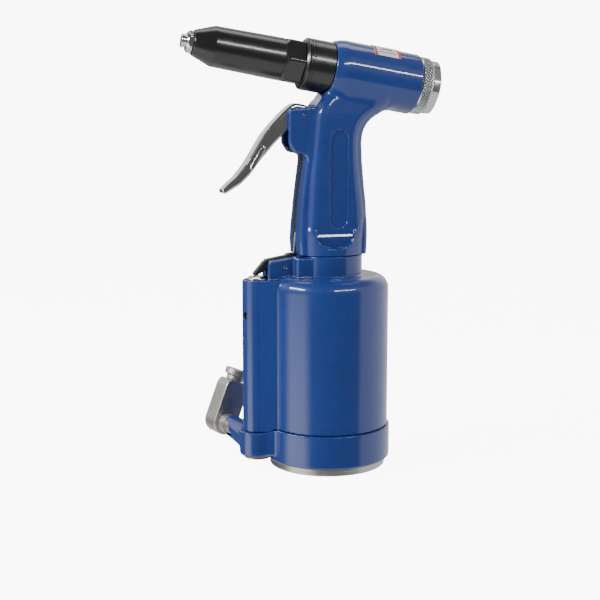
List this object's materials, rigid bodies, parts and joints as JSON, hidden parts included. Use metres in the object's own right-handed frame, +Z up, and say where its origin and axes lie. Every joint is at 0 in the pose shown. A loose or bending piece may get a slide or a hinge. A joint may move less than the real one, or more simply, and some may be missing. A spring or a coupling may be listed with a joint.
{
  "type": "air-hydraulic rivet gun",
  "caption": "Hand-held air-hydraulic blind rivet gun: upright air cylinder, slim grip with a curved squeeze lever, tilted barrel with black nose housing and jaws, swivelling air inlet.",
  "frame": {"origin": "centre of the base disc on the floor plane, on the air cylinder axis", "axes": "+Z up along the air cylinder, -X towards the nose, Y across the tool; the tool is symmetric about Y = 0 except for the air inlet on the +Y side"},
  "size_m": [0.1781, 0.1051, 0.2997],
  "materials": {
    "blue_paint": "deep blue gloss paint on cast aluminium",
    "black_anodised": "satin black anodised aluminium",
    "chrome_plate": "bright chrome plate on pressed or turned steel",
    "steel": "plain turned and ground steel",
    "dark_steel": "dark oxide finished steel",
    "aluminium": "machined aluminium",
    "nickel": "dull nickel plated steel",
    "brass": "turned brass",
    "rubber": "black nitrile rubber",
    "black_lever": "black hard coated lever",
    "label": "plain printed film label without text"
  },
  "bodies": {
    "tool_body": {"handle_body": "blue_paint", "air_cylinder": "blue_paint", "base_cap": "blue_paint", "base_disc": "aluminium", "bump_ring": "rubber", "valve_plug": "brass", "valve_spring": "steel", "valve_seat": "brass", "valve_bushing": "nickel", "valve_lever_pin": "steel", "trigger_pin": "steel", "rod_guide": "rubber", "ram_gland": "brass", "gland_seal": "rubber", "front_gland": "brass", "return_spring": "steel", "frame_lock_nut": "black_anodised", "nose_housing": "black_anodised", "nosepiece": "chrome_plate", "rear_cap": "aluminium", "rear_ring": "aluminium", "label_plate": "label", "inlet_stem": "nickel"},
    "trigger": {"trigger_lever": "chrome_plate", "rod_pin": "steel"},
    "link_rod": {"trigger_rod": "dark_steel"},
    "rocker": {"valve_lever": "black_lever"},
    "valve": {"valve_plunger": "chrome_plate"},
    "air_ram": {"air_piston": "aluminium", "piston_seal": "rubber", "ram_rod": "steel", "piston_nut": "steel"},
    "head": {"hydraulic_piston": "steel", "head_seal": "rubber", "jaw_case": "dark_steel", "pusher_spring": "steel"},
    "pusher": {"jaw_pusher": "steel"},
    "jaw_a": {"jaw_1": "steel"},
    "jaw_b": {"jaw_2": "steel"},
    "jaw_c": {"jaw_3": "steel"},
    "inlet_swivel": {"swivel_block": "nickel", "hose_port": "nickel"}
  },
  "joints": [
    {"name": "trigger_pull", "type": "hinge", "parent": "tool_body", "child": "trigger", "pos_m": [-0.0205, 0, 0.2426], "axis": [0, -1, 0], "range_deg": [0, 19], "stiffness_Nm_per_rad": 0.6, "springref_deg": -8.59},
    {"name": "rod_lift", "type": "slide", "parent": "tool_body", "child": "link_rod", "axis": [0.0974, 0, 0.9952], "range_m": [0, 0.002]},
    {"name": "rocker_tilt", "type": "hinge", "parent": "tool_body", "child": "rocker", "pos_m": [-0.0332, 0, 0.14], "axis": [0, -1, 0], "range_deg": [0, 12.5]},
    {"name": "valve_press", "type": "slide", "parent": "tool_body", "child": "valve", "axis": [0, 0, -1], "range_m": [0, 0.0041], "deforming": ["valve_spring"]},
    {"name": "air_stroke", "type": "slide", "parent": "tool_body", "child": "air_ram", "axis": [0, 0, 1], "range_m": [0, 0.0735], "stiffness_N_per_m": 120, "springref_m": -0.03},
    {"name": "head_pull", "type": "slide", "parent": "tool_body", "child": "head", "axis": [0.9854, 0, -0.1702], "range_m": [0, 0.0181], "deforming": ["return_spring"]},
    {"name": "jaw_open", "type": "slide", "parent": "head", "child": "pusher", "axis": [0.9854, 0, -0.1702], "range_m": [0, 0.0015], "stiffness_N_per_m": 500, "springref_m": -0.006, "deforming": ["pusher_spring"]},
    {"name": "jaw_a_slide", "type": "slide", "parent": "head", "child": "jaw_a", "axis": [0.9761, 0.2131, -0.0438], "range_m": [0, 0.00156]},
    {"name": "jaw_b_slide", "type": "slide", "parent": "head", "child": "jaw_b", "axis": [0.9132, 0, -0.4074], "range_m": [0, 0.00156]},
    {"name": "jaw_c_slide", "type": "slide", "parent": "head", "child": "jaw_c", "axis": [0.9761, -0.2131, -0.0438], "range_m": [0, 0.00156]},
    {"name": "inlet_turn", "type": "hinge", "parent": "tool_body", "child": "inlet_swivel", "pos_m": [-0.0526, 0, 0.0215], "axis": [-0.2588, 0.9659, 0], "continuous": true}
  ],
  "couplings": [
    {"joint": "rod_lift", "follows": "trigger_pull", "m_per_rad": 0.00575},
    {"joint": "rocker_tilt", "follows": "trigger_pull", "ratio": 0.65},
    {"joint": "valve_press", "follows": "trigger_pull", "m_per_rad": 0.01216},
    {"joint": "head_pull", "follows": "air_stroke", "ratio": 0.245},
    {"joint": "jaw_a_slide", "follows": "jaw_open", "ratio": 1.0317},
    {"joint": "jaw_b_slide", "follows": "jaw_open", "ratio": 1.0317},
    {"joint": "jaw_c_slide", "follows": "jaw_open", "ratio": 1.0317}
  ]
}
